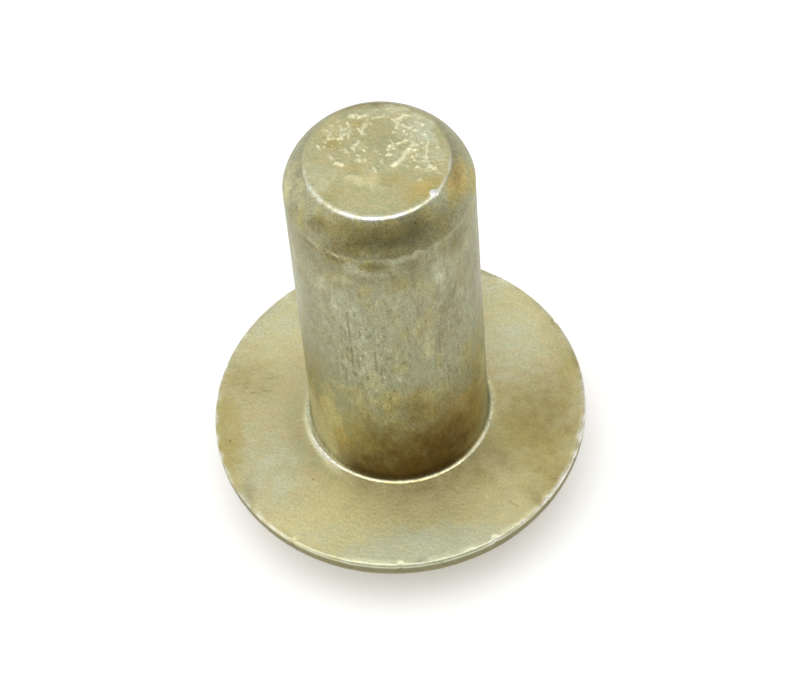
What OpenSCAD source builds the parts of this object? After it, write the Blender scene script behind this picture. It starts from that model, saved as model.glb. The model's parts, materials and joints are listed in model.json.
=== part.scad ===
// Universal head rivet with a solid shank, standing on its head.
// Turned about Z. The origin is the middle of the flat on the crown, and the shank points up.
// The section is built from arcs, so every round face is a true cylinder, sphere or torus.

/* [Shank] */
// Diameter of the shank
shank_d = 6; // [5:0.1:7]
// Length of the shank, from the bearing face to the end face
shank_len = 13.3; // [6:0.1:40]
// Radius of the fillet where the shank meets the head
fillet_r = 0.2; // [0.1:0.05:0.9]

/* [Shank end] */
// Diameter of the end face, measured where the nose would meet it without the broken edge
end_d = 4.54; // [3.6:0.02:4.9]
// Height of the drawn-in nose below the end face
nose_h = 1.1; // [0.8:0.05:2.5]
// Radius of the nose in section
nose_r = 2; // [1.4:0.1:5]
// Radius that breaks the edge of the end face
end_edge_r = 0.16; // [0.05:0.01:0.3]

/* [Head] */
// Diameter of the head
head_d = 12.7; // [10.5:0.1:15]
// Height of the head, from the crown flat to the bearing face
head_h = 2.5; // [2:0.05:3.2]
// Height of the straight land round the rim
land_h = 0.25; // [0.15:0.05:0.6]
// Radius that breaks the upper edge of the rim
rim_edge_r = 0.1; // [0.04:0.01:0.14]
// Radius of the side of the head, between the land and the crown
side_r = 0.8; // [0.3:0.05:1.2]
// Diameter of the small flat that the heading die leaves on the crown
crown_flat_d = 4; // [2:0.1:6]

/* [Hidden] */

// Facets round the axis, on the long crown arc, on the nose arc and on the small arcs
turn_facets = 96;
crown_facets = 144;
nose_facets = 72;
small_facets = 36;

// Two arcs that blend cross by this much, so that no sliver is left between them
blend_lap = 0.0002;
// Each slice of an arc reaches this many degrees into the piece that it blends with
lap_a = 15;

shank_r = shank_d / 2;
head_r = head_d / 2;
end_z = head_h + shank_len;

// The side arc touches the land from inside. The crown arc touches the side arc from outside
// and ends at the rim of the flat, which leaves one height for the centre of the crown.
land_z = head_h - land_h;
side_c = [head_r - side_r, land_z];
side_touch = side_r - blend_lap;
flat_r = crown_flat_d / 2;
crown_q = land_z * land_z - side_touch * side_touch;
crown_k = side_c.x * side_c.x - flat_r * flat_r + crown_q;
crown_s = pow(land_z * crown_k, 2) - crown_q * (crown_k * crown_k - pow(2 * side_touch * flat_r, 2));
crown_z = (land_z * crown_k + sqrt(crown_s)) / (2 * crown_q);
crown_r = norm([flat_r, crown_z]);
// The two arcs meet on the line through their centres, this far off the axis
blend_a = asin(side_c.x / (crown_r - side_touch));

// The nose is one arc from the top of the straight shank to the end face.
// Its section is measured from the middle of the end face.
end_r = end_d / 2;
nose_chord = norm([shank_r - end_r, nose_h]);
nose_sag = sqrt(nose_r * nose_r - nose_chord * nose_chord / 4) / nose_chord;
nose_c = [
    (shank_r + end_r) / 2 - nose_sag * nose_h,
    -nose_h / 2 - nose_sag * (shank_r - end_r)
];
// The broken edge touches the nose and the end face from inside
edge_reach = nose_r - end_edge_r + blend_lap;
edge_a = asin((-end_edge_r - nose_c.y) / edge_reach);
edge_c = [nose_c.x + edge_reach * cos(edge_a), -end_edge_r];

// Direction of an angle in the section
function aim(a) = [cos(a), sin(a)];

// Slice of a disc about c, between the angles a1 and a2
module slice(c, r, a1, a2) {
    translate(c)
        intersection() {
            circle(r, $fn = small_facets);
            polygon([[0, 0], 2 * r * aim(a1), 2 * r * aim((a1 + a2) / 2), 2 * r * aim(a2)]);
        }
}

// Domed crown with its flat, out to the line where the side arc takes over
module crown_section() {
    intersection() {
        translate([0, crown_z]) circle(crown_r, $fn = crown_facets);
        polygon([
            [0, 0],
            [crown_z * tan(blend_a), 0],
            side_c,
            [side_c.x, head_h],
            [0, head_h]
        ]);
    }
}

// Straight land of the rim, with its upper edge broken
module rim_section() {
    edge = [head_r - rim_edge_r, head_h - rim_edge_r];
    polygon([
        side_c,
        [head_r, land_z],
        [head_r, edge.y],
        edge,
        [edge.x, head_h],
        [side_c.x, head_h]
    ]);
    slice(edge, rim_edge_r, 0, 90);
}

module head_section() {
    crown_section();
    slice(side_c, side_r, blend_a - 90 - lap_a, 0);
    rim_section();
}

module fillet_section() {
    difference() {
        translate([shank_r, head_h]) square(fillet_r);
        translate([shank_r + fillet_r, head_h + fillet_r]) circle(fillet_r, $fn = small_facets);
    }
}

// Straight shank and drawn-in nose. Above the centre of the nose arc, the arc limits them.
module shank_section() {
    translate([0, end_z]) {
        intersection() {
            union() {
                translate(nose_c) circle(nose_r, $fn = nose_facets);
                translate([0, -shank_len]) square([edge_c.x, shank_len]);
                translate([0, -shank_len]) square([shank_r, shank_len + nose_c.y]);
            }
            polygon([
                [0, -shank_len],
                [shank_r, -shank_len],
                [shank_r, 0],
                nose_c + 2 * nose_r * aim(edge_a),
                edge_c,
                [edge_c.x, 0],
                [0, 0]
            ]);
        }
        slice(edge_c, end_edge_r, edge_a - lap_a, 90);
    }
}

module rivet() {
    color("darkkhaki")
        rotate_extrude($fn = turn_facets) {
            head_section();
            fillet_section();
            shank_section();
        }
}

rivet();
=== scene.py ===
import json
import math

import bpy
import numpy as np
from mathutils import Matrix, Vector, noise


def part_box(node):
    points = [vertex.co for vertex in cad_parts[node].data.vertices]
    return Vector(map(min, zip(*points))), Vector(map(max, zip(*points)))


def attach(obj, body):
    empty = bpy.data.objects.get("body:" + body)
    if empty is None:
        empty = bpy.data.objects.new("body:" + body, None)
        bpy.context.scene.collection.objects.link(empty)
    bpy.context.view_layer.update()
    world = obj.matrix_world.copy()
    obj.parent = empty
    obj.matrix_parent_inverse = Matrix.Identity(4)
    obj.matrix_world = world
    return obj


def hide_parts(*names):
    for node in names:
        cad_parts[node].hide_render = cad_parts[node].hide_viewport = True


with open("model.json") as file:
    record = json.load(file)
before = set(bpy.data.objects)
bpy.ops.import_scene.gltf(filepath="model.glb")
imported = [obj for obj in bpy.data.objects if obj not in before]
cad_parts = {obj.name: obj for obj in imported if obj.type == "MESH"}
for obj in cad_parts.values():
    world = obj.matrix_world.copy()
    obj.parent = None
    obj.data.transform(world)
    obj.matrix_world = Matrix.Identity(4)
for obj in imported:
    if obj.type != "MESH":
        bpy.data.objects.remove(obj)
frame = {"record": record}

mm = 0.001
tiny = 1e-9    # a ring below this radius is a pole
quarterTurn = math.pi / 2
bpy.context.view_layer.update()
print("frame loaded")


# Section of the rivet, from the end face down to the head

sectionSettings = {
    "around": 576,                 # vertices round the shank and the rim, to be halved several times
    "halveAbove": 20,              # rings of more vertices than this are halved,
    "halveBelow": 0.62,            # where they lie closer than this share of the shank's
    "endRadius": 2.27 * mm,        # end face, out to where the nose would meet it
    "endEdgeRadius": 0.16 * mm,    # rolled edge of the end face
    "noseRadius": 2.0 * mm,        # arc of the nose, in section
    "collarLength": 1.4 * mm,      # top of the straight shank, where the folds lie
    "landHeight": 0.25 * mm,       # straight land round the rim
    "rimEdgeRadius": 0.1 * mm,     # broken upper edge of the rim
    "sideRadius": 0.8 * mm,        # arc between the land and the crown
    "crownFlatRadius": 2.0 * mm,
    "rings": {"end": 50, "lip": 6, "nose": 22, "collar": 26, "shank": 36, "foot": 10,
              "seat": 16, "rim": 6, "land": 2, "side": 9, "crown": 10, "flat": 8},
}


def mountNamed(name):
    return next(mount for mount in frame["record"]["mounts"] if mount["name"] == name)


def readFrame():
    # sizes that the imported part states
    wall = mountNamed("shank")
    low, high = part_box("rivet")
    middle = wall["pos_m"][2]
    half = wall["dims"]["length_mm"] * mm / 2
    return {
        "shankRadius": wall["dims"]["r_mm"] * mm,
        "footTop": middle - half,
        "noseStart": middle + half,
        "seatHeight": mountNamed("bearing_face")["pos_m"][2],
        "headRadius": high[0],
        "endHeight": high[2],
    }


part = readFrame()


def lineRings(zone, start, end, out):
    steps = sectionSettings["rings"][zone]
    rings = []
    for step in range(1, steps + 1):
        share = step / steps
        r = start[0] + (end[0] - start[0]) * share
        z = start[1] + (end[1] - start[1]) * share
        rings.append((zone, r, z, out))
    return rings


def arcRings(zone, centre, radius, startAngle, endAngle, outward=1):
    steps = sectionSettings["rings"][zone]
    rings = []
    for step in range(1, steps + 1):
        angle = startAngle + (endAngle - startAngle) * step / steps
        aim = (math.cos(angle), math.sin(angle))
        place = (centre[0] + radius * aim[0], centre[1] + radius * aim[1])
        rings.append((zone, *place, (outward * aim[0], outward * aim[1])))
    return rings


def shankRings(s, p):
    rs, top = p["shankRadius"], p["endHeight"]
    # nose arc through the end face's rim and the top of the straight shank
    across, tall = rs - s["endRadius"], top - p["noseStart"]
    chord = math.hypot(across, tall)
    sag = math.sqrt(s["noseRadius"] ** 2 - chord ** 2 / 4) / chord
    noseCentre = ((rs + s["endRadius"]) / 2 - sag * tall, top - tall / 2 - sag * across)
    noseFoot = math.asin((p["noseStart"] - noseCentre[1]) / s["noseRadius"])
    # rolled edge, touching the nose and the end face from inside
    reach = s["noseRadius"] - s["endEdgeRadius"]
    noseHead = math.asin((top - s["endEdgeRadius"] - noseCentre[1]) / reach)
    edgeCentre = (noseCentre[0] + reach * math.cos(noseHead), top - s["endEdgeRadius"])
    collarFoot = p["noseStart"] - s["collarLength"]
    rings = [("end", 0, top, (0, 1))]
    rings += lineRings("end", (0, top), (edgeCentre[0], top), (0, 1))
    rings += arcRings("lip", edgeCentre, s["endEdgeRadius"], quarterTurn, noseHead)
    rings += arcRings("nose", noseCentre, s["noseRadius"], noseHead, noseFoot)
    rings += lineRings("collar", (rs, p["noseStart"]), (rs, collarFoot), (1, 0))
    rings += lineRings("shank", (rs, collarFoot), (rs, p["footTop"]), (1, 0))
    return rings


def headRings(s, p):
    seat, rs = p["seatHeight"], p["shankRadius"]
    footRadius = p["footTop"] - seat
    rimEdge = s["rimEdgeRadius"]
    seatOut = p["headRadius"] - rimEdge
    # the side arc touches the land, and the crown arc touches the side arc
    landZ = seat - s["landHeight"]
    sideX = p["headRadius"] - s["sideRadius"]
    q = landZ ** 2 - s["sideRadius"] ** 2
    k = sideX ** 2 - s["crownFlatRadius"] ** 2 + q
    root = (landZ * k) ** 2 - q * (k ** 2 - (2 * s["sideRadius"] * s["crownFlatRadius"]) ** 2)
    crownZ = (landZ * k + math.sqrt(root)) / (2 * q)
    crownRadius = math.hypot(s["crownFlatRadius"], crownZ)
    blend = math.asin(sideX / (crownRadius - s["sideRadius"])) - quarterTurn
    flatAngle = math.asin(s["crownFlatRadius"] / crownRadius) - quarterTurn
    footCentre = (rs + footRadius, p["footTop"])
    rings = arcRings("foot", footCentre, footRadius, 2 * quarterTurn, 3 * quarterTurn, outward=-1)
    rings += lineRings("seat", (rs + footRadius, seat), (seatOut, seat), (0, 1))
    rings += arcRings("rim", (seatOut, seat - rimEdge), rimEdge, quarterTurn, 0)
    rings += lineRings("land", (p["headRadius"], seat - rimEdge), (p["headRadius"], landZ), (1, 0))
    rings += arcRings("side", (sideX, landZ), s["sideRadius"], 0, blend)
    rings += arcRings("crown", (0, crownZ), crownRadius, blend, flatAngle)
    rings += lineRings("flat", (s["crownFlatRadius"], 0), (0, 0), (0, -1))
    return rings


# Surface: every vertex with its zone and its way out

def ringCount(radius):
    # small rings have fewer vertices, by halves, and the two poles have one
    s = sectionSettings
    count = s["around"]
    if radius < tiny:
        return 1
    enough = s["halveBelow"] * part["shankRadius"] / s["around"]
    while count > s["halveAbove"] and radius < enough * count:
        count //= 2
    return count


def layOut(rings):
    surface = {"counts": [ringCount(ring[1]) for ring in rings]}
    points, outs, zones = [], [], []
    for (zone, r, z, out), count in zip(rings, surface["counts"]):
        angle = 2 * math.pi * np.arange(count) / count
        c, s = np.cos(angle), np.sin(angle)
        points.append(np.column_stack([r * c, r * s, np.full(count, z)]))
        outs.append(np.column_stack([out[0] * c, out[0] * s, np.full(count, out[1])]))
        zones += [zone] * count
    surface["points"] = np.vstack(points)
    surface["outs"] = np.vstack(outs)
    surface["zone"] = np.array(zones)
    # in millimetres: x to the right, y to the back, up from the bearing face, bearing 0 at the front
    x, y, z = (surface["points"] / mm).T
    surface["x"], surface["y"], surface["up"] = x, y, z - part["seatHeight"] / mm
    surface["r"] = np.hypot(x, y)
    surface["bearing"] = np.degrees(np.arctan2(x, -y))
    return surface


def bandFaces(a, countA, b, countB):
    faces = []
    if countA == 1:
        return [(a, b + k, b + (k + 1) % countB) for k in range(countB)]
    if countB == 1:
        return [(a + (k + 1) % countA, a + k, b) for k in range(countA)]
    if countA == countB:
        return [(a + k, b + k, b + (k + 1) % countB, a + (k + 1) % countA) for k in range(countA)]
    fewer = min(countA, countB)
    for k in range(fewer):
        n = (k + 1) % fewer
        even, odd, after = 2 * k, 2 * k + 1, (2 * k + 2) % (2 * fewer)
        if countA < countB:
            faces += [(a + k, b + even, b + odd), (a + k, b + odd, a + n), (a + n, b + odd, b + after)]
        else:
            faces += [(b + k, a + odd, a + even), (b + k, b + n, a + odd), (b + n, a + after, a + odd)]
    return faces


# Relief and films, worked out at the vertices

reliefSettings = {
    # all in millimetres, and bearings in degrees
    "waveSizes": {"coarse": 1.7, "medium": 0.42, "fine": 0.11},
    # torn edges on the end face: width, height and the points they pass
    "tornEdges": [
        (0.13, 0.034, [(0.50, -0.25), (0.72, -0.06)]),
        (0.12, 0.034, [(0.76, 0.00), (0.95, 0.26), (1.04, 0.34)]),
        (0.12, 0.019, [(1.00, 0.34), (1.18, 0.50), (1.20, 0.80)]),
        (0.12, 0.026, [(0.70, 1.53), (0.86, 1.60), (1.02, 1.78)]),
        (0.12, 0.016, [(0.74, 1.45), (0.74, 1.22)]),
        (0.17, 0.019, [(0.95, 0.72), (1.02, 0.80)]),
        (0.07, 0.022, [(1.25, 1.74), (1.60, 1.50), (1.86, 1.22)]),
        (0.14, 0.020, [(0.20, 1.72), (0.05, 1.74)]),
        (0.11, 0.016, [(-0.22, 1.60), (-0.30, 1.40), (-0.38, 1.10)]),
        (0.14, 0.022, [(-0.68, 1.88), (-0.60, 1.86)]),
        (0.10, 0.015, [(-1.40, 1.56), (-1.36, 1.20)]),
        (0.12, 0.017, [(-1.02, 1.50), (-0.96, 1.12)]),
        (0.11, 0.016, [(-0.78, 1.18), (-0.68, 1.32)]),
        (0.10, 0.014, [(-1.50, 0.40), (-1.30, 0.15)]),
        (0.10, 0.014, [(-0.95, 0.55), (-0.80, 0.20)]),
        (0.06, 0.019, [(-1.80, 0.85), (-1.70, 0.60)]),
        (0.07, 0.025, [(-0.52, 0.82), (-0.47, 0.80)]),
        (0.10, 0.028, [(0.38, 0.40), (0.44, 0.54)]),
        (0.12, 0.020, [(-1.26, 0.02), (-1.08, -0.07)]),
        (0.14, 0.021, [(-0.62, 0.08), (-0.38, 0.02)]),
        (0.10, 0.016, [(-0.10, -0.28), (-0.04, -0.44)]),
        (0.19, 0.009, [(-0.95, -0.52), (-0.60, -0.64)]),
        (0.24, 0.011, [(-0.50, -0.82), (-0.22, -0.94)]),
        (0.17, 0.006, [(-0.05, -1.02), (0.20, -1.15)]),
        (0.11, 0.014, [(0.85, -0.25), (0.92, -0.30)]),
        (0.10, 0.012, [(1.45, -0.50), (1.52, -0.60)]),
        (0.11, 0.012, [(1.22, -0.92), (1.28, -0.88)]),
        (0.06, 0.019, [(1.62, 0.50), (1.52, 0.00), (1.60, -0.40), (1.48, -0.60)]),
        (0.06, 0.022, [(1.54, 0.88), (1.58, 0.84)]),
        (0.06, 0.022, [(1.90, 0.32), (1.93, 0.28)]),
    ],
    "tornShare": (0.15, 0.975),    # least and most of their height that is left
    "tornRim": (2.20, 1.95),       # radius where torn metal ends, and where it is full
    "tornBright": 0.022,           # height at which it is fully bright
    "crumbHeight": 0.020,          # small torn grain between those edges
    "crumbSlant": 0.35,            # it starts behind a slanting line, so the front left stays smooth
    "crumbStart": (-0.45, 0.15),
    "crumbCover": 0.012,           # height of a torn edge that leaves no room for it
    "crumbVein": 0.16,             # it gathers along veins
    "crumbApart": 0.2,             # share that lies between the veins
    "crumbGrain": (0.12, 0.25, 1.6),    # its level, more of it along veins, swing with the fine waves
    # smooth patches in it: x, y, reach across, reach deep, strength
    "smoothPatches": [(0.15, 1.0, 0.55, 1.2, 0.9), (1.15, 1.35, 0.60, 0.45, 0.6)],
    "endSwell": 0.030,
    # the lip's worn line, partly a painted highlight: bearings, and its reach inwards and its wear there
    "lipReach": ([-100, -60, -20, 50, 70], [0.16, 0.20, 0.20, 0.15, 0.09]),
    "lipWorn": ([-118, -88, -60, 40, 60, 95, 110], [0, 0.50, 0.78, 0.80, 0.6, 0.5, 0]),
    "lipOutside": 0.65,            # share of that reach outwards
    "lipFoot": 12.9,               # height where it ends
    "lipWave": 0.012,
    "lipBurr": (1.63, -1.47, 0.17, 0.022),  # place, width and height of a burr on the lip, raised and with a painted glint
    "burrBright": 2,
    "wallWave": 0.010,
    # one fold under the nose: bearings, and heights above the bearing face
    "foldUp": ([-50, -30, -26, -24, -18, -10, -2, 6, 14, 24, 34],
               [12.1, 11.95, 11.7, 11.35, 11.2, 11.3, 11.22, 11.45, 11.35, 11.6, 11.8]),
    "foldLeft": (-52, -44),        # bearings over which it fades in on the left and on the right
    "foldRight": (36, 28),
    "foldWidth": 0.13,
    "foldHeight": 0.020,
    "foldMost": 1.2,               # at most this many times its height
    # the fold and the crease are painted paler as clean metal, partly a painted highlight on their ridges
    "foldBright": 0.35,
    "creaseUp": 12.12,             # a crease above it, most of all on the left
    "creaseLeft": (-34, 36, 0.08),     # bearing, reach and the share that is left elsewhere
    "creaseWidth": 0.13,
    "creaseHeight": 0.006,
    "creaseBright": 0.22,
    # drawn lines down the shank: bearing, from, to, depth
    "drawnLines": [
        (-30, 6.2, 8.4, 0.011), (-23, 5.6, 7.4, 0.010), (-9, 5.0, 6.6, 0.011), (9, 6.0, 8.8, 0.009),
        (29, 5.2, 8.0, 0.010), (-27, 5.4, 9.1, 0.012), (-33, 4.5, 10.0, 0.006), (-20, 5.0, 8.8, 0.006),
        (-12, 5.8, 8.2, 0.014), (-5, 3.5, 9.8, 0.005), (4, 5.2, 8.3, 0.008), (13, 4.0, 5.8, 0.014),
        (16, 7.0, 9.6, 0.006), (25, 4.6, 7.4, 0.008), (34, 4.3, 6.2, 0.011), (35, 7.0, 9.2, 0.009),
        (37, 3.2, 5.4, 0.007), (51, 4.2, 6.6, 0.008), (53, 8.4, 10.4, 0.007), (20, 9.4, 11.4, 0.006),
        (-18, 9.2, 11.0, 0.006), (-41, 6.0, 10.4, 0.006), (-55, 3.0, 8.2, 0.006),
        (82, 3.0, 10.5, 0.008), (128, 2.5, 9.5, 0.010), (151, 5.5, 11.0, 0.007),
        (-178, 2.0, 8.0, 0.010), (-140, 4.5, 10.4, 0.009), (-98, 3.2, 7.7, 0.010),
    ],
    "lineWidth": 0.055,
    "lineTaper": 4,                # how sharply the ends of a line run out
    "lineDark": 0.012,             # depth at which a line is fully dark
    # pits: bearing, height, width, depth
    "pits": [
        (-33, 9.8, 0.10, 0.030), (-33, 9.2, 0.07, 0.020), (-27, 8.7, 0.06, 0.018),
        (-27, 8.0, 0.06, 0.018), (-27, 7.3, 0.06, 0.015), (-12, 7.4, 0.07, 0.016),
        (44, 9.4, 0.07, 0.018), (112, 6.2, 0.09, 0.022), (-120, 8.4, 0.09, 0.022),
        (170, 4.6, 0.08, 0.018),
    ],
    "pitStretch": 1.6,
    "seatScratches": [
        [(-5.75, 2.32), (-5.20, 2.20)], [(-5.55, 2.05), (-5.05, 1.98)], [(-5.10, 1.10), (-4.30, 1.14)],
        [(-4.60, 1.62), (-3.95, 1.70)], [(-5.40, 0.72), (-4.80, 0.66)], [(3.40, -4.30), (3.62, -4.52)],
    ],
    "scratchWidth": 0.045,
    "scratchDepth": 0.006,
    "scratchDark": 0.7,
    "seatWave": 0.012,
    # the rubbed line round the foot, mostly a painted highlight on the fillet: bearings, its radius there
    # and how far it is rubbed
    "footBearings": [-115, -90, -75, -60, -45, -30, 0, 45, 62, 80, 105],
    "footRadii": [3.27, 3.24, 3.20, 3.17, 3.16, 3.12, 3.09, 3.11, 3.12, 3.13, 3.18],
    "footWear": [0.0, 0.9, 1.3, 1.3, 1.1, 0.8, 0.55, 1.0, 1.0, 0.9, 0.2],
    "footWidth": 0.078,
    # painted highlight strokes outside it, as rubbed metal: radius, width, bearing, reach in degrees,
    # strength
    "footStrokes": [(3.27, 0.08, -47, 25, 0.95), (3.40, 0.05, -46, 17, 0.6)],
    # painted highlight as bare metal on the line: width, bearing, reach, strength, and outside it the
    # radius comes first
    "bareLines": [(0.07, -54, 34, 0.85), (0.04, 60, 42, 0.15)],
    "bareStroke": (3.26, 0.10, -52, 22, 0.45),
    # painted contact shadow and dark residue inside the line: from and to this far inside it, least and
    # further strength, bearing, reach
    "footDirtEdge": (-0.06, -0.09),
    "footDirt": (0.10, 0.4, -40, 60),
    "dullRing": (3.6, 0.60, -80, 50, 0.22),  # painted shade beside the foot, the shank's reflection, as a stroke
    "rimWave": 0.010,
    # the rim's upper edge: bearings, and how far it is rubbed there, partly a painted highlight
    "rimWorn": ([-110, -75, -45, -15, 20, 45, 80, 110], [0.7, 0.7, 0.75, 0.40, 0.45, 1.1, 1.1, 0.7]),
    "rimLineFrom": 6.22,           # radius where the rubbed edge and its painted highlight start
    "rimLineUp": -0.04,            # its height, and how far up and down it reaches
    "rimLineReach": 0.07,
    "landDark": (-0.9, -0.4),      # heights over which painted shade darkens the side of the head
    # nicks in the rim's upper edge: bearing, width, depth
    "rimNicks": [(-4, 0.12, 0.030), (26, 0.16, 0.035), (47, 0.10, 0.025), (-38, 0.10, 0.020),
                 (64, 0.12, 0.025), (118, 0.14, 0.030), (-112, 0.12, 0.030), (-165, 0.16, 0.030)],
    "crownUneven": (2.6, 3.4),     # the crown rests on the floor, so only its outer part is uneven
    # the head is a little oval, from the foot outwards
    "ovalAlong": -0.0065,
    "ovalAcross": 0.0064,
    "ovalFrom": (3.5, 6.0),
    "ovalTop": 0.3,
}

# how ragged things are: a level, and its swing with the medium and with the fine waves
raggedSettings = {
    "torn": (0.6375, 0.3, 0.6),
    "lip": (0.75, 0.55, 0.25),
    "foldPlace": (0, 0.4, 0.15),
    "fold": (0.55, 1.3, 0.6),
    "crease": (0.5, 1.2, 0),
    "line": (0.2, 2.8, 1.0),
    "scratch": (0.5, 1.5, 0),
    "rim": (0.8, 0.9, 0),
    "foot": (0.85, 0.5, 0),
    "noseEdge": (0, 0.16, 0.06),
    "patch": (0, 0.12, 0.084),
}

filmKinds = ("gold", "light", "amber", "pale", "stain", "torn", "worn", "line", "rough")

filmSettings = {
    "spread": 0.8,                 # a patch fades out at its reach divided by this
    "seatStart": (3.05, 3.10),     # on the foot, radii where the bearing face's films start
    "wallEnd": (3.11, 3.06),       # and where the wall's films end
    "noseEdge": (12.07, 12.21),    # height where the wall's films give way to the nose's
}

# on the end face and on the bearing face: x, y, reach across, reach deep, strength
endFilms = {
    "gold": [
        (1.25, -1.25, 1.0, 0.7, 1.0), (-0.65, -0.28, 0.5, 0.30, 0.6), (-1.35, 0.75, 0.5, 0.6, 0.6),
        (0.3, -0.85, 1.2, 0.45, 0.7), (-1.1, -1.0, 1.0, 0.7, 0.35), (-0.5, 1.2, 0.6, 0.6, 0.35),
    ],
    "light": [(-0.45, -0.75, 0.7, 0.32, 0.9)],
    "amber": [
        (1.3, -1.2, 0.8, 0.55, 0.40), (-0.65, -0.28, 0.45, 0.25, 0.35), (-1.35, 0.8, 0.4, 0.4, 0.3),
    ],
    "pale": [
        (1.5, 0.9, 0.8, 1.1, 0.75), (1.6, 0.1, 0.6, 0.8, 0.5), (-1.8, -0.5, 0.5, 1.1, 0.5),
        (0.3, 2.0, 1.2, 0.4, 0.5), (0.7, 0.0, 0.5, 0.5, 0.4),
    ],
    "stain": [(0.9, 1.6, 0.8, 0.5, 0.25), (0.0, 2.3, 2.2, 0.35, 0.55)],
    "line": [(0.15, 1.1, 0.6, 1.2, 0.12)],
}
seatFilms = {
    "gold": [
        (-6.0, -0.9, 0.9, 2.8, 0.9), (0.5, -3.5, 3.4, 1.3, 1.0), (4.4, -1.4, 2.3, 2.6, 0.9),
        (5.8, 0.6, 0.9, 2.2, 0.6), (5.0, 3.8, 0.9, 1.7, 0.4), (-4.9, 1.6, 1.5, 1.3, 0.5),
        (0.0, 4.6, 3.0, 1.5, 0.5), (-4.6, -4.0, 1.0, 1.6, 0.35), (4.8, -3.6, 1.6, 1.8, 0.9),
    ],
    # the first entry is painted light on the front of the bearing face; the two at a radius of 3.1 are
    # painted highlights on the foot's fillet
    "light": [
        (-0.3, -4.6, 7.0, 2.8, 1.0), (4.6, 3.8, 1.8, 2.8, 0.75), (-3.6, 4.0, 2.6, 3.0, 0.7),
        (-3.12, 0.0, 0.14, 1.5, 1.0), (3.10, 0.0, 0.14, 1.5, 1.0),
    ],
    "amber": [(1.8, -3.1, 2.0, 0.8, 0.30), (-0.8, -3.6, 1.6, 0.6, 0.25)],
    # the entry at x -3.12 is a painted highlight on the foot's fillet
    "pale": [
        (-4.0, 4.4, 2.6, 2.2, 0.55), (-4.5, -2.2, 1.5, 2.4, 0.55), (0.4, -5.8, 4.2, 1.3, 1.0),
        (-2.8, -5.0, 1.8, 1.2, 0.35), (2.9, -4.9, 1.3, 0.8, 0.3), (4.1, 2.4, 1.5, 2.2, 0.6),
        (3.7, 4.8, 1.2, 1.2, 0.6), (-3.12, 0.0, 0.12, 1.5, 0.7),
    ],
    "stain": [
        (2.9, -2.5, 1.6, 1.4, 0.34), (0.2, -3.1, 1.8, 0.5, 0.12), (4.9, -0.9, 2.2, 3.2, 0.42),
        (-4.4, -3.6, 1.6, 1.6, 0.16), (-5.2, 1.6, 1.0, 1.2, 0.22), (5.0, -3.6, 1.7, 2.2, 0.36),
        (-5.4, -2.9, 0.9, 1.3, 0.30), (-5.30, -3.05, 0.5, 1.0, 0.50), (4.35, -4.35, 0.7, 0.9, 0.48),
        (-6.0, -0.9, 0.6, 2.2, 0.2),
    ],
    "torn": [(0.8, -5.7, 3.0, 0.5, 0.20)],
    "line": [(-5.1, 1.5, 0.9, 1.0, 0.12)],
    "rough": [(-5.0, 1.4, 1.6, 1.4, 1.0), (0.0, 0.0, 9.0, 9.0, 0.3)],
}
# on the nose and on the wall: bearing, height above the bearing face, reach across, reach tall, strength
noseFilms = {
    "gold": [
        (-4, 12.85, 3.6, 0.75, 0.92), (72, 13.05, 1.3, 0.60, 1.0), (84, 12.4, 1.0, 0.8, 0.8),
        (-48, 12.6, 1.4, 0.8, 0.6),
    ],
    "light": [(-88, 12.6, 1.0, 0.9, 0.4), (-72, 13.05, 0.8, 0.45, 0.6)],
    "amber": [(72, 13.05, 1.1, 0.45, 0.7), (-24, 12.5, 0.8, 0.3, 0.25)],
    # the broad front entries paint the nose's dark band as painted dark reflection, with real brown
    # blotches in it
    "stain": [
        (4, 12.25, 3.2, 0.60, 0.48), (-26, 12.38, 1.4, 0.55, 0.58), (-46, 12.78, 0.8, 0.42, 0.50),
        (-30, 12.35, 0.7, 0.35, 0.66), (-58, 12.45, 1.4, 0.7, 0.22), (42, 12.35, 1.5, 0.6, 0.42),
        (74, 13.1, 0.8, 0.35, 0.42), (170, 12.5, 5.0, 0.7, 0.3),
    ],
    # the two broad entries near bearing 6 are painted dark reflection low on the nose; the others are dark
    # blotches
    "line": [
        (6, 12.28, 3.4, 0.50, 0.80), (6, 12.58, 2.8, 0.55, 0.92), (-30, 12.4, 1.2, 0.5, 0.42),
        (-36, 13.0, 1.2, 0.45, 0.55), (-62, 12.4, 1.2, 0.5, 0.22), (55, 12.7, 1.1, 0.6, 0.30),
    ],
}
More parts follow.
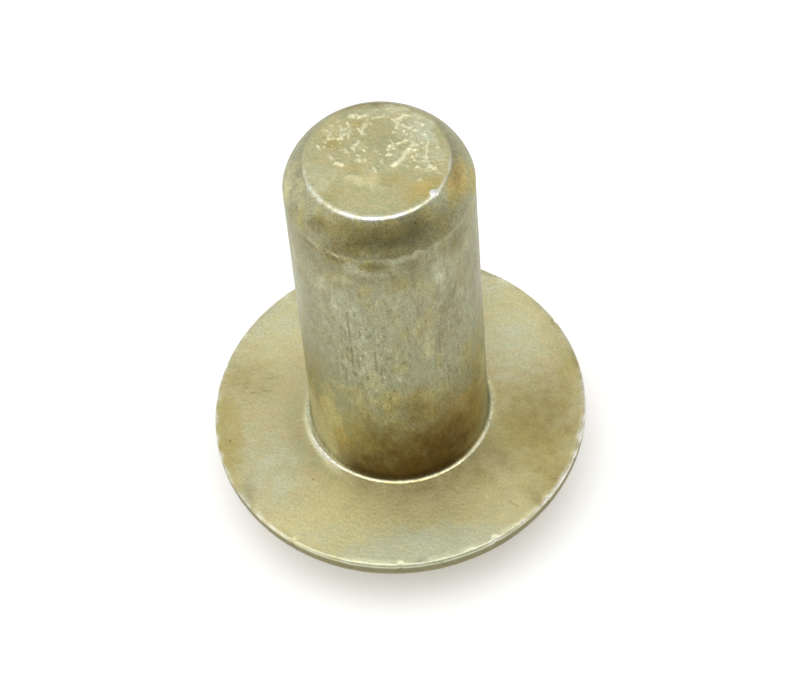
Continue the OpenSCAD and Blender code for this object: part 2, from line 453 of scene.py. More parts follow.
wallFilms = {
    "gold": [
        (5, 1.2, 4.4, 3.4, 0.7), (-62, 2.6, 2.2, 3.2, 0.6), (66, 2.8, 2.2, 3.6, 0.65),
        (140, 1.2, 3.0, 2.6, 0.6), (-140, 1.2, 3.0, 2.6, 0.6), (2, 3.7, 2.6, 2.1, 0.75),
        (28, 6.2, 0.25, 0.6, 0.7), (5, 6.6, 0.5, 2.2, 0.4), (50, 5.2, 0.7, 1.6, 0.7),
        (20, 8.6, 0.6, 1.0, 0.5), (0, 11.0, 4.0, 1.8, 0.38), (-30, 11.93, 0.75, 0.50, 1.0),
        (-7, 11.82, 0.80, 0.48, 1.0), (-48, 11.95, 1.0, 0.4, 0.8), (14, 11.6, 1.0, 0.6, 0.5),
        (66, 11.9, 0.6, 0.7, 0.8),
    ],
    # the entries low on the left paint the bearing face's reflection there, as painted light
    "light": [
        (-12, 5.8, 0.6, 1.2, 0.35), (-60, 1.3, 1.2, 1.9, 1.0), (-50, 2.8, 0.7, 1.9, 1.0),
        (-72, 1.5, 1.0, 2.2, 1.0), (24, 7.4, 0.35, 1.6, 0.35), (-84, 0.8, 1.2, 1.4, 0.7),
        (72, 2.4, 0.9, 2.6, 0.62),
    ],
    "amber": [
        (44, 1.6, 1.8, 2.6, 0.78), (58, 1.6, 1.0, 2.0, 0.65), (-42, 1.3, 0.8, 1.6, 0.60),
        (-56, 2.6, 0.6, 1.6, 0.40), (26, 0.4, 2.4, 1.8, 0.40),
    ],
    "pale": [
        (-82, 8.6, 1.4, 4.0, 0.4), (-20, 7.0, 1.0, 2.2, 0.24), (-31, 9.0, 0.9, 1.8, 0.28),
        (-38, 9.4, 1.0, 2.2, 0.3), (160, 8.0, 2.5, 4.0, 0.6), (8, 2.7, 0.4, 0.6, 0.3),
        (32, 11.0, 0.35, 1.6, 0.6), (-20, 11.7, 0.35, 0.40, 0.8), (1, 12.02, 0.35, 0.22, 0.8),
        (12, 12.0, 0.9, 0.2, 0.5),
    ],
    # the entries low on the shank are brown residue and painted shade where the shank meets the head
    "stain": [
        (10, 0.1, 3.2, 2.8, 1.0), (22, 1.2, 2.8, 3.0, 0.92), (44, 1.7, 1.4, 2.4, 0.60),
        (10, 3.8, 1.3, 1.9, 0.54), (-10, 2.0, 1.6, 2.6, 0.66), (26, 3.3, 1.4, 1.8, 0.48),
        (-18, 0.1, 2.2, 2.5, 0.95), (-8, 1.7, 1.4, 1.4, 0.85), (62, 8.8, 1.4, 4.2, 0.34),
        (-58, 8.4, 1.0, 3.8, 0.30), (180, 0.6, 6.0, 2.2, 0.55), (36, 8.4, 1.4, 3.0, 0.42),
        (-40, 11.2, 1.3, 1.1, 0.40), (0, 10.9, 4.2, 1.5, 0.36), (-30, 11.93, 0.68, 0.46, 0.64),
        (-7, 11.82, 0.70, 0.42, 0.58), (-48, 11.95, 0.9, 0.33, 0.6), (14, 11.6, 0.9, 0.6, 0.45),
        (40, 11.5, 1.6, 1.0, 0.40), (-15, 11.15, 0.6, 0.3, 0.35), (66, 11.9, 0.4, 0.6, 0.4),
    ],
    # the first two entries, low on the left, are painted reflection of the bearing face
    "torn": [
        (-59, 1.5, 0.7, 1.5, 0.48), (-72, 1.2, 0.8, 2.0, 0.55), (-23, 11.8, 0.13, 0.26, 0.45),
        (-17, 11.9, 0.12, 0.14, 0.35), (-15, 11.65, 0.12, 0.14, 0.30), (-22, 11.42, 0.32, 0.13, 0.40),
        (-12, 11.38, 0.25, 0.11, 0.35), (-3, 11.42, 0.34, 0.10, 0.38), (3, 11.62, 0.22, 0.11, 0.32),
        (22, 11.7, 0.10, 0.40, 0.3),
    ],
    # the last entry, at the foot, is painted shade
    "line": [
        (-10, 5.6, 0.5, 0.9, 0.22), (-20, 6.6, 0.6, 0.8, 0.16), (14, 7.0, 0.45, 1.4, 0.30),
        (8, 4.4, 1.0, 1.1, 0.30), (50, 9.6, 0.5, 0.9, 0.30), (4, 11.68, 4.6, 1.10, 0.60),
        (-8, 7.2, 3.0, 5.0, 0.20), (-31, 11.93, 0.70, 0.42, 0.90), (50, 11.7, 0.75, 1.0, 0.62),
        (-7, 11.84, 0.75, 0.4, 0.88), (-30, 0.1, 1.8, 0.30, 0.35),
    ],
    "rough": [
        (-15, 6.6, 1.8, 3.8, 1.0), (10, 2.5, 3.6, 2.6, 0.4), (38, 6.8, 1.8, 4.6, 0.6),
        (100, 7.0, 3.0, 5.0, 0.6), (0, 8.0, 4.0, 5.0, 0.5), (-110, 7.0, 3.0, 5.0, 0.6),
        (175, 7.0, 3.0, 5.0, 0.6),
    ],
}


def hill(distance):
    # 1 in the middle, falling smoothly to 0 at a distance of 1
    return np.clip(1 - distance ** 2, 0, 1) ** 2


def ramp(value, start, end):
    # 0 at the start and 1 at the end, whichever of the two is larger
    return np.clip((value - start) / (end - start), 0, 1)


def ridge(distance, reach):
    # 1 near the middle, falling straight to 0 at 1.1 times its reach
    return np.clip(1.1 - np.abs(distance) / reach, 0, 1)


def smoothNoise(surface, size):
    # about -1 to 1, with features of that size in millimetres
    scale = 1 / (size * mm)
    return np.array([noise.noise(Vector(point) * scale) for point in surface["points"]])


def ragged(waves, kind):
    level, medium, fine = raggedSettings[kind]
    return level + medium * waves["medium"] + fine * waves["fine"]


def byBearing(surface, table):
    return np.interp(surface["bearing"], *table)


def turnFrom(surface, bearing):
    # degrees, from -180 to 180
    return (surface["bearing"] - bearing + 180) % 360 - 180


def wallArc(surface, bearing):
    return np.radians(turnFrom(surface, bearing)) * part["shankRadius"] / mm


def wallDistance(surface, bearing, up, across, tall):
    return np.hypot(wallArc(surface, bearing) / across, (surface["up"] - up) / tall)


def flatDistance(surface, x, y, across, deep):
    return np.hypot((surface["x"] - x) / across, (surface["y"] - y) / deep)


def inZones(surface, *zones):
    return np.isin(surface["zone"], zones)


def lineDistance(surface, points):
    nearest = np.full(len(surface["x"]), np.inf)
    for (x0, y0), (x1, y1) in zip(points, points[1:]):
        dx, dy = x1 - x0, y1 - y0
        share = ((surface["x"] - x0) * dx + (surface["y"] - y0) * dy) / (dx * dx + dy * dy)
        share = np.clip(share, 0, 1)
        gap = np.hypot(surface["x"] - x0 - share * dx, surface["y"] - y0 - share * dy)
        nearest = np.minimum(nearest, gap)
    return nearest


def stroke(surface, radius, width, bearing, reach, strength):
    # part of a ring on the bearing face
    across = hill((surface["r"] - radius) / width)
    return strength * across * hill((surface["bearing"] - bearing) / reach)


def shapeEnd(surface, lift, films, waves):
    s = reliefSettings
    fade = (surface["zone"] == "end") * ramp(surface["r"], *s["tornRim"])
    torn = np.zeros(len(lift))
    share = np.clip(ragged(waves, "torn"), *s["tornShare"])
    for width, height, points in s["tornEdges"]:
        torn = np.maximum(torn, height * share * hill(lineDistance(surface, points) / width))
    rough = ramp(surface["y"] + s["crumbSlant"] * surface["x"], *s["crumbStart"])
    for x, y, across, deep, smooth in s["smoothPatches"]:
        rough *= 1 - smooth * hill(flatDistance(surface, x, y, across, deep))
    vein = ridge(waves["medium"], s["crumbVein"])
    level, along, swing = s["crumbGrain"]
    crumbs = np.clip(level + along * vein + swing * waves["fine"], 0, 1)
    crumbs *= s["crumbApart"] + (1 - s["crumbApart"]) * vein
    torn += s["crumbHeight"] * rough * crumbs * (1 - ramp(torn, 0, s["crumbCover"]))
    lift += fade * (s["endSwell"] * waves["coarse"] + torn)
    # torn metal is painted paler, partly clean metal and partly a painted glint on its crests
    films["torn"] += fade * ramp(torn, 0, s["tornBright"])
    films["rough"] += fade * rough


def shapeLip(surface, lift, films, waves):
    s = reliefSettings
    lipRadius = sectionSettings["endRadius"] / mm
    high = surface["up"] > s["lipFoot"]
    reach = byBearing(surface, s["lipReach"]) * np.where(surface["r"] > lipRadius, s["lipOutside"], 1)
    line = high * ridge(surface["r"] - lipRadius, reach) * byBearing(surface, s["lipWorn"])
    x, y, width, height = s["lipBurr"]
    burrGlint = high * hill(flatDistance(surface, x, y, width, width))
    lift += (surface["zone"] == "lip") * s["lipWave"] * waves["medium"] + height * burrGlint
    # the lip's worn line and the burr are painted brighter, partly wear and partly painted highlight and
    # glint
    films["worn"] += line * ragged(waves, "lip") + s["burrBright"] * burrGlint


def shapeWall(surface, lift, films, waves):
    s = reliefSettings
    bearing, up = surface["bearing"], surface["up"]
    on = inZones(surface, "nose", "collar", "shank")
    lift += on * s["wallWave"] * waves["coarse"]
    fold = hill((up - byBearing(surface, s["foldUp"]) - ragged(waves, "foldPlace")) / s["foldWidth"])
    fold *= np.clip(ragged(waves, "fold"), 0, s["foldMost"])
    fold *= ramp(bearing, *s["foldLeft"]) * ramp(bearing, *s["foldRight"])
    crease = hill((up - s["creaseUp"]) / s["creaseWidth"]) * np.clip(ragged(waves, "crease"), 0, 1)
    middle, reach, least = s["creaseLeft"]
    crease *= least + (1 - least) * hill((bearing - middle) / reach)
    lift += on * (s["foldHeight"] * fold + s["creaseHeight"] * crease)
    # painted highlights on the fold and the crease, as clean metal
    films["torn"] += on * (s["foldBright"] * fold + s["creaseBright"] * crease)
    for place, low, high, depth in s["drawnLines"]:
        middle, half = (low + high) / 2, (high - low) / 2
        line = hill(wallArc(surface, place) / s["lineWidth"])
        line *= np.clip(s["lineTaper"] * (1 - np.abs(up - middle) / half), 0, 1)
        line *= np.clip(ragged(waves, "line"), 0, 1)
        lift -= on * depth * line
        films["line"] += on * line * depth / s["lineDark"]
    for place, height, width, depth in s["pits"]:
        pit = hill(wallDistance(surface, place, height, width, s["pitStretch"] * width))
        lift -= on * depth * pit
        films["line"] += on * pit


def shapeHead(surface, lift, films, waves):
    s = reliefSettings
    r, up = surface["r"], surface["up"]
    onSeat = surface["zone"] == "seat"
    onRim = inZones(surface, "rim", "land")
    onCrown = inZones(surface, "side", "crown") * ramp(r, *s["crownUneven"])
    lift += (onSeat + onCrown) * s["seatWave"] * waves["coarse"]
    lift += onRim * s["rimWave"] * waves["medium"]
    for points in s["seatScratches"]:
        scratch = onSeat * hill(lineDistance(surface, points) / s["scratchWidth"])
        scratch *= np.clip(ragged(waves, "scratch"), 0, 1)
        lift -= s["scratchDepth"] * scratch
        films["line"] += s["scratchDark"] * scratch
    for bearing, width, depth in s["rimNicks"]:
        nick = hill(np.radians(turnFrom(surface, bearing)) * r / width)
        lift -= onRim * depth * nick
    # the rim's upper edge gets wear with a painted highlight, and the side below it painted shade
    edge = (r > s["rimLineFrom"]) * np.clip(1 - np.abs(up - s["rimLineUp"]) / s["rimLineReach"], 0, 1)
    films["worn"] += edge * byBearing(surface, s["rimWorn"]) * ragged(waves, "rim")
    films["line"] += inZones(surface, "land", "side") * ramp(up, *s["landDark"])


def lightAndWearAtFoot(surface, films, waves):
    # a painted highlight along the foot's line, as rubbed metal, most of all on the left, with painted
    # shade and dirt inside it
    s = reliefSettings
    r, bearing = surface["r"], surface["bearing"]
    on = inZones(surface, "foot", "seat")
    footRadius = np.interp(bearing, s["footBearings"], s["footRadii"])
    rubbedHighlight = np.interp(bearing, s["footBearings"], s["footWear"]) * hill((r - footRadius) / s["footWidth"])
    for numbers in s["footStrokes"]:
        rubbedHighlight += stroke(surface, *numbers)
    films["torn"] += on * rubbedHighlight * ragged(waves, "foot")
    for numbers in s["bareLines"]:
        films["worn"] += on * stroke(surface, footRadius, *numbers)
    films["worn"] += on * stroke(surface, *s["bareStroke"])
    least, further, middle, reach = s["footDirt"]
    inside = (surface["zone"] == "foot") * ramp(r - footRadius, *s["footDirtEdge"])
    films["line"] += inside * (least + further * hill((bearing - middle) / reach))
    films["line"] += (surface["zone"] == "seat") * stroke(surface, *s["dullRing"])


def ovalHead(surface, points):
    s = reliefSettings
    share = ramp(surface["r"], *s["ovalFrom"]) * (surface["up"] < s["ovalTop"])
    angle = np.arctan2(surface["y"], surface["x"])
    grow = 1 + share * (s["ovalAlong"] * np.cos(2 * angle) + s["ovalAcross"] * np.sin(2 * angle))
    points[:, 0] *= grow
    points[:, 1] *= grow


def patchesIn(table):
    return [(kind, *numbers) for kind, places in table.items() for numbers in places]


def addFilms(surface, films, waves):
    s = filmSettings
    outside = np.where(surface["zone"] == "foot", ramp(surface["r"], *s["seatStart"]), 1)
    for zones, table in ((["end", "lip"], endFilms), (["foot", "seat", "rim", "land"], seatFilms)):
        on = inZones(surface, *zones) * outside
        for kind, x, y, across, deep, strength in patchesIn(table):
            patch = hill(s["spread"] * flatDistance(surface, x, y, across, deep))
            films[kind] = np.maximum(films[kind], on * strength * patch)
    onNose = ramp(surface["up"] + ragged(waves, "noseEdge"), *s["noseEdge"])
    onWalls = inZones(surface, "nose", "collar", "shank", "foot") * ramp(surface["r"], *s["wallEnd"])
    for on, table in ((onWalls * onNose, noseFilms), (onWalls * (1 - onNose), wallFilms)):
        for kind, bearing, up, across, tall, strength in patchesIn(table):
            distance = s["spread"] * wallDistance(surface, bearing, up, across, tall)
            patch = hill(distance + ragged(waves, "patch") / min(across, tall))
            films[kind] = np.maximum(films[kind], on * strength * patch)


def addObject(name, data):
    thing = bpy.data.objects.new(name, data)
    bpy.context.scene.collection.objects.link(thing)
    return thing


def buildRivet():
    surface = layOut(shankRings(sectionSettings, part) + headRings(sectionSettings, part))
    waves = {name: smoothNoise(surface, size) for name, size in reliefSettings["waveSizes"].items()}
    lift = np.zeros(len(surface["x"]))
    films = {kind: np.zeros(len(lift)) for kind in filmKinds}
    shapeEnd(surface, lift, films, waves)
    shapeLip(surface, lift, films, waves)
    shapeWall(surface, lift, films, waves)
    shapeHead(surface, lift, films, waves)
    lightAndWearAtFoot(surface, films, waves)
    addFilms(surface, films, waves)
    points = surface["points"] + surface["outs"] * (lift * mm)[:, None]
    ovalHead(surface, points)

    faces = []
    start = 0
    for countA, countB in zip(surface["counts"], surface["counts"][1:]):
        faces += bandFaces(start, countA, start + countA, countB)
        start += countA
    mesh = bpy.data.meshes.new("platedRivet")
    mesh.from_pydata(points.tolist(), [], faces)
    mesh.polygons.foreach_set("use_smooth", [True] * len(faces))
    for kind, values in films.items():
        attribute = mesh.attributes.new(kind, "FLOAT", "POINT")
        attribute.data.foreach_set("value", np.clip(values, 0, 1).astype(np.float32))
    # material slots by zone: 0 is the end face's, 1 the wall's and 2 the head's
    slots = {"end": 0, "lip": 0, "nose": 1, "collar": 1, "shank": 1, "foot": 1}
    indices = [slots.get(surface["zone"][max(face)], 2) for face in faces]
    mesh.polygons.foreach_set("material_index", indices)
    mesh.update()
    rivet = addObject("platedRivet", mesh)
    triangles = sum(len(face) - 2 for face in faces)
    print("rivet built:", triangles, "triangles")
    return rivet


# Node helpers

floatSocket = "NodeSocketFloat"
colourSocket = "NodeSocketColor"
vectorSocket = "NodeSocketVector"


def setInput(tree, node, name, value):
    if isinstance(value, bpy.types.NodeSocket):
        tree.links.new(value, node.inputs[name])
    else:
        node.inputs[name].default_value = value


def addMath(tree, operation, a, b=0.0, clamp=False):
    node = tree.nodes.new("ShaderNodeMath")
    node.operation = operation
    node.use_clamp = clamp
    setInput(tree, node, 0, a)
    setInput(tree, node, 1, b)
    return node.outputs[0]


def times(tree, a, b):
    return addMath(tree, "MULTIPLY", a, b)


def addRange(tree, value, low, high, toLow=0.0, toHigh=1.0):
    node = tree.nodes.new("ShaderNodeMapRange")
    node.interpolation_type = "SMOOTHSTEP"
    for name, number in (("Value", value), ("From Min", low), ("From Max", high),
                         ("To Min", toLow), ("To Max", toHigh)):
        setInput(tree, node, name, number)
    return node.outputs["Result"]


def addNoise(tree, vector, size, detail, roughness):
    # size in millimetres
    node = tree.nodes.new("ShaderNodeTexNoise")
    setInput(tree, node, "Vector", vector)
    setInput(tree, node, "Scale", 1 / (size * mm))
    setInput(tree, node, "Detail", detail)
    setInput(tree, node, "Roughness", roughness)
    return node.outputs["Fac"]


def addMix(tree, factor, a, b, blend="MIX"):
    node = tree.nodes.new("ShaderNodeMix")
    node.data_type = "RGBA"
    node.blend_type = blend
    setInput(tree, node, 0, factor)
    setInput(tree, node, 6, a)
    setInput(tree, node, 7, b)
    return node.outputs[2]


def addVector(tree, operation, vector, other):
    node = tree.nodes.new("ShaderNodeVectorMath")
    node.operation = operation
    setInput(tree, node, 0, vector)
    setInput(tree, node, 1, other)
    return node.outputs["Value" if operation == "DISTANCE" else "Vector"]


def newGroup(name, inputs, outputs):
    group = bpy.data.node_groups.new(name, "ShaderNodeTree")
    for label, kind, value in inputs:
        socket = group.interface.new_socket(label, in_out="INPUT", socket_type=kind)
        if value is not None:
            socket.default_value = value
    for label, kind in outputs:
        group.interface.new_socket(label, in_out="OUTPUT", socket_type=kind)
    into = group.nodes.new("NodeGroupInput")
    out = group.nodes.new("NodeGroupOutput")
    return group, into.outputs, out.inputs


# Plating

platingColours = {
    "gold": (0.45, 0.385, 0.15, 1),     # thicker chromate film
    "light": (0.64, 0.585, 0.31, 1),    # clean, bright film; also painted light on the front of the bearing face and painted reflection low on the shank's left
    "amber": (0.64, 0.48, 0.18, 1),     # reddish film
    "pale": (0.57, 0.59, 0.41, 1),      # thin film, nearly bare zinc
    "stain": (0.135, 0.083, 0.021, 1),  # brown residue, and painted shade low on the shank and on the nose's front
    "torn": (0.80, 0.77, 0.52, 1),      # clean metal where it is torn or rubbed; also painted highlights on the foot line, the folds, the crease and torn crests
    "bare": (0.84, 0.85, 0.77, 1),      # worn edges, and painted highlights on the lip, the burr, the rim's edge and the foot line
    "line": (0.155, 0.140, 0.055, 1),   # dirt in the drawn lines; also painted shade on the side of the head, round the foot and on the nose's front
    "cool": (0.93, 1.01, 0.97, 1),      # the film's tint swings between these two
    "warm": (1.09, 0.99, 0.96, 1),
}

platingSettings = {
    # sizes in millimetres
    "grainSize": 0.06,
    "grainNoise": (2.0, 0.6),      # detail and roughness of the noise, here and below
    "tintSize": 0.38,
    "tintNoise": (3.0, 0.5),
    "tintRange": (0.3, 0.7),
    "cloudNoise": (5.0, 0.62),
    # each film breaks up in clouds of its own: size, where the film starts, swing
    "clouds": {"gold": (0.80, 0.05, 2.6), "light": (0.60, 0.05, 2.2), "amber": (0.40, 0.15, 2.0),
               "pale": (0.50, 0.05, 2.6), "stain": (0.40, 0.12, 0.9)},
    "tornFull": 0.9,
    "wornRange": (0.1, 0.9),
    "wornGrain": 0.4,
    "lineCover": 0.8,
    "speckSpacing": 0.45,
    "speckEdge": (0.06, 0.11),
    "speckCover": 0.7,
    "grainRange": (0.25, 0.75),
    "streakRange": (0.3, 0.7),
}


def buildFilmGroup():
    s = platingSettings
    c = platingColours
    amounts = [(kind.capitalize(), floatSocket, 0) for kind in filmKinds if kind != "rough"]
    group, into, out = newGroup(
        "platingFilm",
        [("Vector", vectorSocket, None), ("Base", colourSocket, (0.5, 0.48, 0.28, 1)), *amounts,
         ("Mottle", floatSocket, 0.3), ("Tint", floatSocket, 0.4), ("Grain", floatSocket, 0.1),
         ("Specks", floatSocket, 0.1), ("Streaks", floatSocket, 0.1), ("Lines", floatSocket, 0.5),
         ("Stretch", vectorSocket, (1, 1, 1))],
        [("Color", colourSocket), ("Matt", floatSocket)])

    stretched = addVector(group, "MULTIPLY", into["Vector"], into["Stretch"])
    grain = addNoise(group, into["Vector"], s["grainSize"], *s["grainNoise"])
    tint = addNoise(group, stretched, s["tintSize"], *s["tintNoise"])
    warmth = addRange(group, tint, *s["tintRange"])
    tinted = addMix(group, warmth, c["cool"], c["warm"])
    colour = addMix(group, into["Tint"], into["Base"], tinted, "MULTIPLY")
    for kind, (size, start, swing) in s["clouds"].items():
        moved = addVector(group, "ADD", stretched, (0, 0, size))
        clouds = addNoise(group, moved, size, *s["cloudNoise"])
        swung = times(group, addMath(group, "SUBTRACT", clouds, 0.5), swing)
        mask = addMath(group, "ADD", into[kind.capitalize()], times(group, swung, into["Mottle"]))
        colour = addMix(group, addRange(group, mask, start, 1.0), colour, c[kind])
    colour = addMix(group, addRange(group, into["Torn"], 0.0, s["tornFull"]), colour, c["torn"])
    speckled = times(group, addMath(group, "SUBTRACT", grain, 0.5), s["wornGrain"])
    worn = addMath(group, "ADD", into["Worn"], times(group, speckled, into["Worn"]))
    colour = addMix(group, addRange(group, worn, *s["wornRange"]), colour, c["bare"])
    colour = addMix(group, times(group, into["Line"], s["lineCover"]), colour, c["line"])
    # a few dark specks, in cells chosen by chance
    cells = group.nodes.new("ShaderNodeTexVoronoi")
    setInput(group, cells, "Vector", into["Vector"])
    setInput(group, cells, "Scale", 1 / (s["speckSpacing"] * mm))
    chance = group.nodes.new("ShaderNodeSeparateColor")
    group.links.new(cells.outputs["Color"], chance.inputs[0])
    few = addMath(group, "LESS_THAN", chance.outputs[0], into["Specks"])
    speck = times(group, addRange(group, cells.outputs["Distance"], *s["speckEdge"], 1.0, 0.0), few)
    colour = addMix(group, times(group, speck, s["speckCover"]), colour, c["line"])
    # grain and streaks lighten and darken the colour
    swing = times(group, addRange(group, grain, *s["grainRange"], -1.0, 1.0), into["Grain"])
    streaks = times(group, addRange(group, into["Lines"], *s["streakRange"], 1.0, -1.0), into["Streaks"])
    shade = addMath(group, "ADD", addMath(group, "ADD", swing, streaks), 1.0)
    grey = group.nodes.new("ShaderNodeCombineColor")
    for channel in range(3):
        group.links.new(shade, grey.inputs[channel])
    colour = addMix(group, 1.0, colour, grey.outputs[0], "MULTIPLY")
    group.links.new(colour, out["Color"])
    group.links.new(warmth, out["Matt"])
    return group


grainSettings = {
    "grainSize": 0.11,
    "lineSize": 0.14,
    "noise": (3.0, 0.6),
    # marks and gleams show where the drawn lines and the grain both pass these levels
    "marks": {"lines": (0.52, 0.66), "grain": (0.44, 0.60)},
    "gleams": {"lines": (0.46, 0.34), "grain": (0.56, 0.40)},
}


def buildGrainGroup():
    s = grainSettings
    group, into, out = newGroup(
        "platingGrain",
        [("Vector", vectorSocket, None), ("Stretch", vectorSocket, (1, 1, 1)),
         ("Fine", floatSocket, 0.5), ("Drawn", floatSocket, 0.5)],
        [("Height", floatSocket), ("Lines", floatSocket), ("Marks", floatSocket), ("Gleams", floatSocket)])
    grain = addNoise(group, into["Vector"], s["grainSize"], *s["noise"])
    stretched = addVector(group, "MULTIPLY", into["Vector"], into["Stretch"])
    lines = addNoise(group, stretched, s["lineSize"], *s["noise"])
    fine = times(group, grain, into["Fine"])
    drawn = times(group, lines, into["Drawn"])
    group.links.new(addMath(group, "ADD", fine, drawn), out["Height"])
    group.links.new(lines, out["Lines"])
    for name in ("marks", "gleams"):
        onLines = addRange(group, lines, *s[name]["lines"])
        onGrain = addRange(group, grain, *s[name]["grain"])
        group.links.new(times(group, onLines, onGrain), out[name.capitalize()])
    return group


finishSettings = {
    "endFinish": {
        "base": (0.485, 0.462, 0.258, 1), "edge": (1.0, 1.0, 1.0, 1),
        "metallic": 0.85, "roughness": 0.42, "polish": 0.10,
        "mottle": 0.92, "tint": 0.7, "grain": 0.12, "streaks": 0.0, "specks": 0.0,
        "stretch": (1, 1, 1), "cloudStretch": (1, 1, 1), "fine": 0.8, "drawn": 0.2,
        "bump": 0.014 * mm, "marks": 0.0, "gleams": 0.66,
    },
    "wallFinish": {
        "base": (0.355, 0.353, 0.228, 1), "edge": (0.78, 0.77, 0.70, 1),
        "metallic": 0.85, "roughness": 0.36, "polish": 0.04,
        "mottle": 0.86, "tint": 0.5, "grain": 0.22, "streaks": 0.06, "specks": 0.24,
        "stretch": (1, 1, 0.32), "cloudStretch": (1, 1, 0.7), "fine": 0.5, "drawn": 0.5,
        "bump": 0.012 * mm, "marks": 1.1, "gleams": 0.58,
    },
    "headFinish": {
        "base": (0.52, 0.475, 0.27, 1), "edge": (1.0, 1.0, 1.0, 1),
        "metallic": 0.85, "roughness": 0.48, "polish": 0.10,
        "mottle": 0.58, "tint": 0.65, "grain": 0.12, "streaks": 0.0, "specks": 0.14,
        "stretch": (0.5, 1, 1), "cloudStretch": (0.9, 1, 1), "fine": 0.6, "drawn": 0.4,
        "bump": 0.010 * mm, "marks": 0.4, "gleams": 0.0,
    },
}
mattSwing = (-0.04, 0.05)    # how far the film's warmth swings the roughness


def newMaterial(name):
    material = bpy.data.materials.new(name)
    material.use_nodes = True
    tree = material.node_tree
    return material, tree, tree.nodes["Principled BSDF"]


def buildFinish(name, filmGroup, grainGroup):
    s = finishSettings[name]
    material, tree, shader = newMaterial(name)
    shader.inputs["Metallic"].default_value = s["metallic"]
    shader.inputs["Specular Tint"].default_value = s["edge"]
    place = tree.nodes.new("ShaderNodeTexCoord").outputs["Object"]

    grain = tree.nodes.new("ShaderNodeGroup")
    grain.node_tree = grainGroup
    setInput(tree, grain, "Vector", place)
    for label in ("stretch", "fine", "drawn"):
        setInput(tree, grain, label.capitalize(), s[label])

    film = tree.nodes.new("ShaderNodeGroup")
    film.node_tree = filmGroup
    setInput(tree, film, "Vector", place)
    for label in ("base", "mottle", "tint", "grain", "streaks", "specks"):
        setInput(tree, film, label.capitalize(), s[label])
    setInput(tree, film, "Lines", grain.outputs["Lines"])
    setInput(tree, film, "Stretch", s["cloudStretch"])
    amounts = {}
    for kind in filmKinds:
        attribute = tree.nodes.new("ShaderNodeAttribute")
        attribute.attribute_name = kind
        amounts[kind] = attribute.outputs["Fac"]
    # where the surface is rough, small gleams and dark marks
    rough = amounts.pop("rough")
    for kind, label in (("torn", "gleams"), ("line", "marks")):
        spots = times(tree, grain.outputs[label.capitalize()], rough)
        spots = times(tree, spots, s[label])
        amounts[kind] = addMath(tree, "ADD", amounts[kind], spots, clamp=True)
    for kind, amount in amounts.items():
        setInput(tree, film, kind.capitalize(), amount)

    tree.links.new(film.outputs["Color"], shader.inputs["Base Color"])
    smoother, rougher = (s["roughness"] + swing for swing in mattSwing)
    matt = addRange(tree, film.outputs["Matt"], 0, 1, smoother, rougher)
    matt = addMath(tree, "SUBTRACT", matt, times(tree, amounts["worn"], s["polish"]))
    tree.links.new(matt, shader.inputs["Roughness"])
    bump = tree.nodes.new("ShaderNodeBump")
    bump.inputs["Distance"].default_value = s["bump"]
    tree.links.new(grain.outputs["Height"], bump.inputs["Height"])
    tree.links.new(bump.outputs["Normal"], shader.inputs["Normal"])
    return material


rivet = buildRivet()
filmGroup = buildFilmGroup()
grainGroup = buildGrainGroup()
for name in finishSettings:
    rivet.data.materials.append(buildFinish(name, filmGroup, grainGroup))
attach(rivet, "root")
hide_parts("rivet")
print("finishes applied")


# Stage

cameraSettings = {
    "elevation": 54.13,     # degrees above the bearing face
    "roll": 5.27,
    "distance": 110 * mm,
    "lens": 145.67,
    "sensor": 36,
    "nearest": 1 * mm,
    "farthest": 20,
    "aimUp": 2.3175 * mm,   # how far the picture's middle lies above the middle of the bearing face
}


def addCamera():
    s = cameraSettings
    data = bpy.data.cameras.new("camera")
    camera = addObject("camera", data)
    data.lens = s["lens"]
    data.sensor_width = s["sensor"]
    data.clip_start = s["nearest"]
    data.clip_end = s["farthest"]
    tilt = Matrix.Rotation(math.radians(90 - s["elevation"]), 4, "X")
    turn = tilt @ Matrix.Rotation(-math.radians(s["roll"]), 4, "Z")
    up = turn.to_3x3() @ Vector((0, 1, 0))
    back = turn.to_3x3() @ Vector((0, 0, 1))
    aim = Vector((0, 0, part["seatHeight"])) + up * s["aimUp"]
    camera.matrix_world = Matrix.Translation(aim + back * s["distance"]) @ turn
    bpy.context.scene.camera = camera


studioSettings = {
    "back": 0.84,           # strength of the surroundings behind and beside the rivet
    "front": 0.3,           # darker on the camera's side
    "frontRange": (-0.75, -0.1),    # a direction's Y where the dark side is full, and where it ends
    "left": 1.3,            # and somewhat brighter to the left than to the right
    "right": 0.82,
    "sideRange": (-0.9, 0.9),       # its X where the left side is full, and the right side
    # soft glows on top of the rest, low on the left and on the right: strength, aim and reach
    "glows": [(1.3, (-0.86, -0.26, 0.44), 0.62), (1.4, (0.90, -0.08, 0.42), 0.50)],
    "floorHalf": 1.5,
    "paper": 0.85,
    "paperRoughness": 0.9,
    "paperGlow": 0.25,      # for camera, glossy and transmission rays only
    "lampSize": 0.32,
    "lampHeight": 0.30,
    "lampLean": 0.04,       # towards the camera's side
    "lampRadiance": 2.0,
}


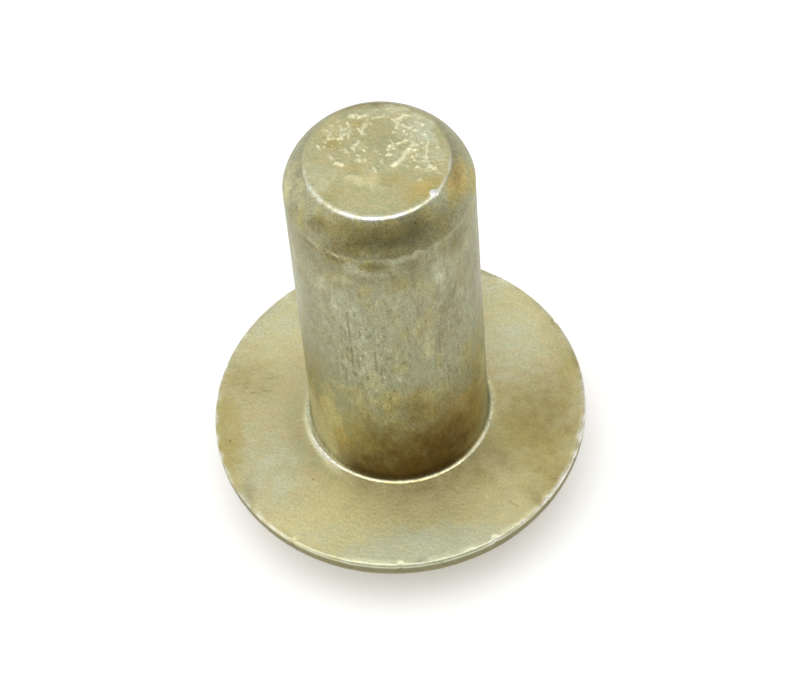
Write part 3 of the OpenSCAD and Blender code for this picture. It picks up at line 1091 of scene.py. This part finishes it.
def addSurroundings():
    s = studioSettings
    world = bpy.data.worlds.new("studio")
    bpy.context.scene.world = world
    world.use_nodes = True
    tree = world.node_tree
    tree.nodes.clear()
    direction = tree.nodes.new("ShaderNodeTexCoord").outputs["Generated"]
    split = tree.nodes.new("ShaderNodeSeparateXYZ")
    tree.links.new(direction, split.inputs[0])
    depth = addRange(tree, split.outputs["Y"], *s["frontRange"], s["front"], s["back"])
    side = addRange(tree, split.outputs["X"], *s["sideRange"], s["left"], s["right"])
    strength = times(tree, depth, side)
    for glow, aim, reach in s["glows"]:
        away = addVector(tree, "DISTANCE", direction, aim)
        strength = addMath(tree, "ADD", strength, addRange(tree, away, 0.0, reach, glow, 0.0))
    background = tree.nodes.new("ShaderNodeBackground")
    tree.links.new(strength, background.inputs["Strength"])
    output = tree.nodes.new("ShaderNodeOutputWorld")
    tree.links.new(background.outputs[0], output.inputs[0])


def addFloor():
    s = studioSettings
    half = s["floorHalf"]
    mesh = bpy.data.meshes.new("floor")
    corners = [(-half, -half, 0), (half, -half, 0), (half, half, 0), (-half, half, 0)]
    mesh.from_pydata(corners, [], [(0, 1, 2, 3)])
    floor = addObject("floor", mesh)
    material, tree, shader = newMaterial("paper")
    shader.inputs["Base Color"].default_value = (s["paper"], s["paper"], s["paper"], 1)
    shader.inputs["Roughness"].default_value = s["paperRoughness"]
    shader.inputs["Emission Color"].default_value = (1, 1, 1, 1)
    rays = tree.nodes.new("ShaderNodeLightPath")
    seen = addMath(tree, "MAXIMUM", rays.outputs["Is Camera Ray"], rays.outputs["Is Glossy Ray"])
    seen = addMath(tree, "MAXIMUM", seen, rays.outputs["Is Transmission Ray"])
    glow = times(tree, seen, s["paperGlow"])
    tree.links.new(glow, shader.inputs["Emission Strength"])
    mesh.materials.append(material)


def addLamp():
    s = studioSettings
    data = bpy.data.lights.new("overhead", "AREA")
    data.shape = "DISK"
    data.size = s["lampSize"]
    data.energy = s["lampRadiance"] * math.pi * math.pi * (s["lampSize"] / 2) ** 2
    lamp = addObject("overhead", data)
    lamp.location = (0, -s["lampLean"], s["lampHeight"])


addCamera()
addSurroundings()
addFloor()
addLamp()
bpy.context.scene.view_settings.view_transform = "Standard"
print("stage set")
